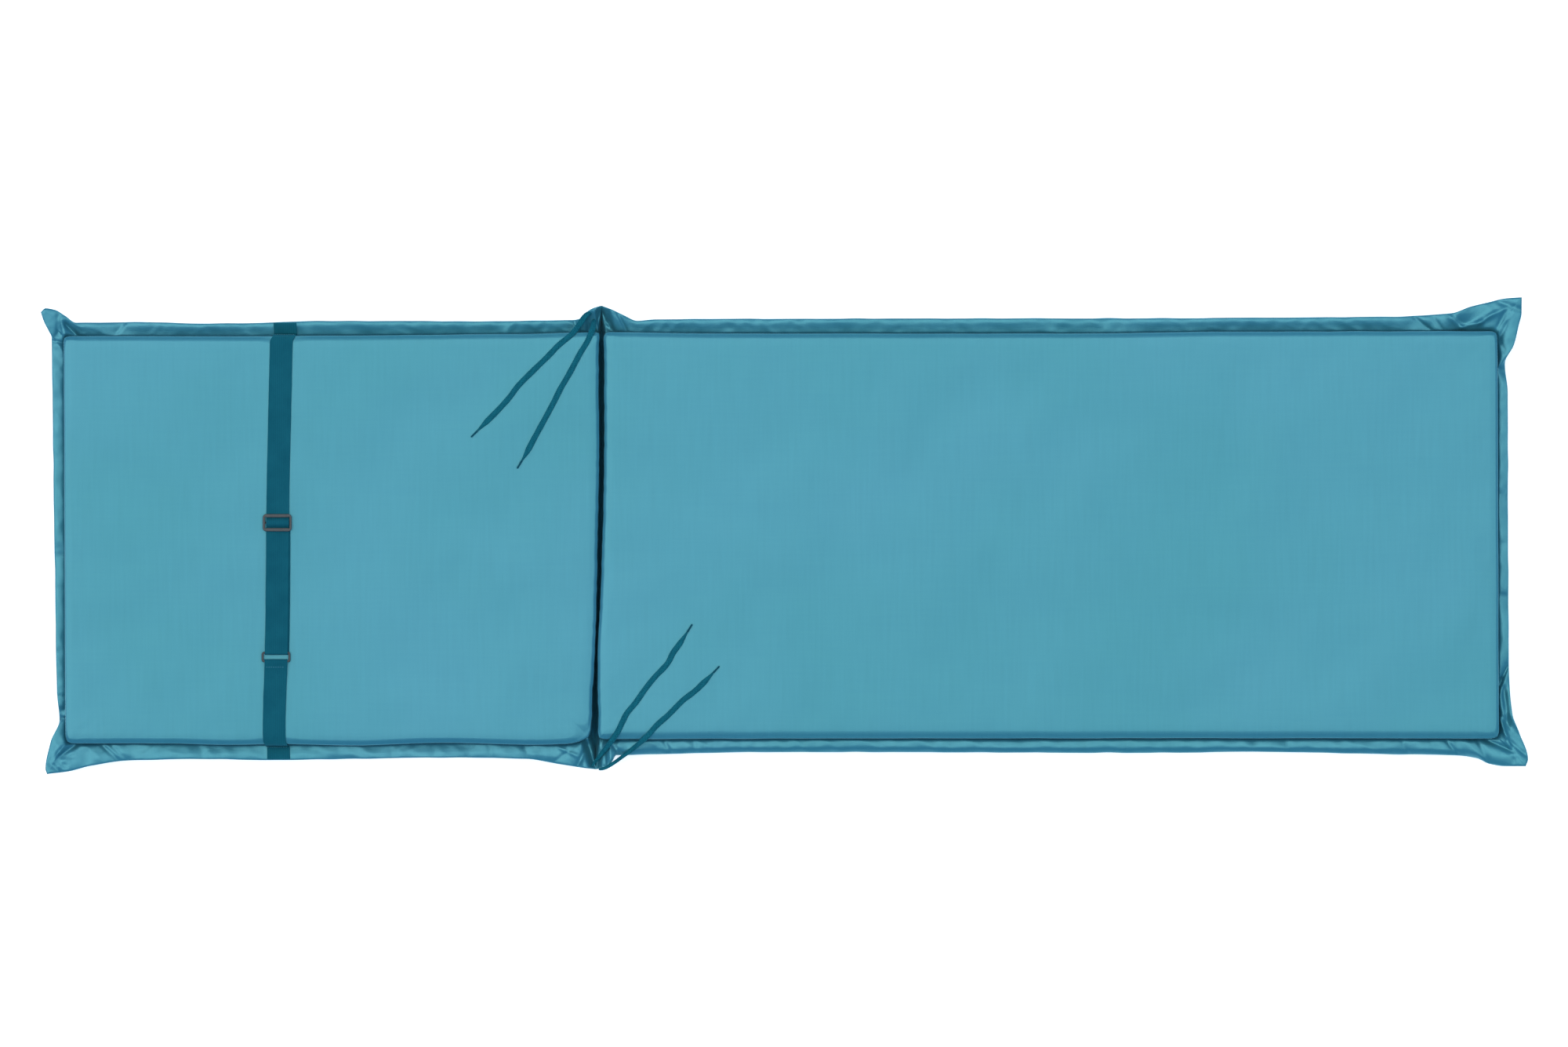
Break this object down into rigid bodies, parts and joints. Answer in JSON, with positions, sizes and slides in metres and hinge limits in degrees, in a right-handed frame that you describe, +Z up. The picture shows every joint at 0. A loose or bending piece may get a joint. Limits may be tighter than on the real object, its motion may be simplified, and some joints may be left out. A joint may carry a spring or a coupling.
{
  "type": "sun lounger cushion",
  "caption": "Long padded lounger cushion in two hinged pads with a standing hem, a webbing strap with slide and ring across the back pad, and tie laces at both ends of the fold.",
  "frame": {"origin": "on the floor, below the middle of the cushion's outline", "axes": "+X along the cushion towards its foot end, +Y to the left of someone who looks along +X, +Z up out of the strap side"},
  "size_m": [1.8959, 0.608, 0.0577],
  "materials": {
    "cover": "plain woven polyester with a soft sheen, light teal blue",
    "webbing": "ribbed woven webbing, dark teal",
    "braid": "flat braided lace, dark teal",
    "lace_tips": "sealed lace end, dark teal",
    "fittings": "moulded plastic, warm grey"
  },
  "bodies": {
    "root": {"cushion": "cover", "strap_long": "webbing", "strap_short": "webbing", "strap_slide": "fittings", "strap_ring": "fittings", "tie_left_outer": "braid", "tie_left_inner": "braid", "tie_right_inner": "braid", "tie_right_outer": "braid", "tie_left_outer_tip": "lace_tips", "tie_left_inner_tip": "lace_tips", "tie_right_inner_tip": "lace_tips", "tie_right_outer_tip": "lace_tips"}
  },
  "joints": []
}
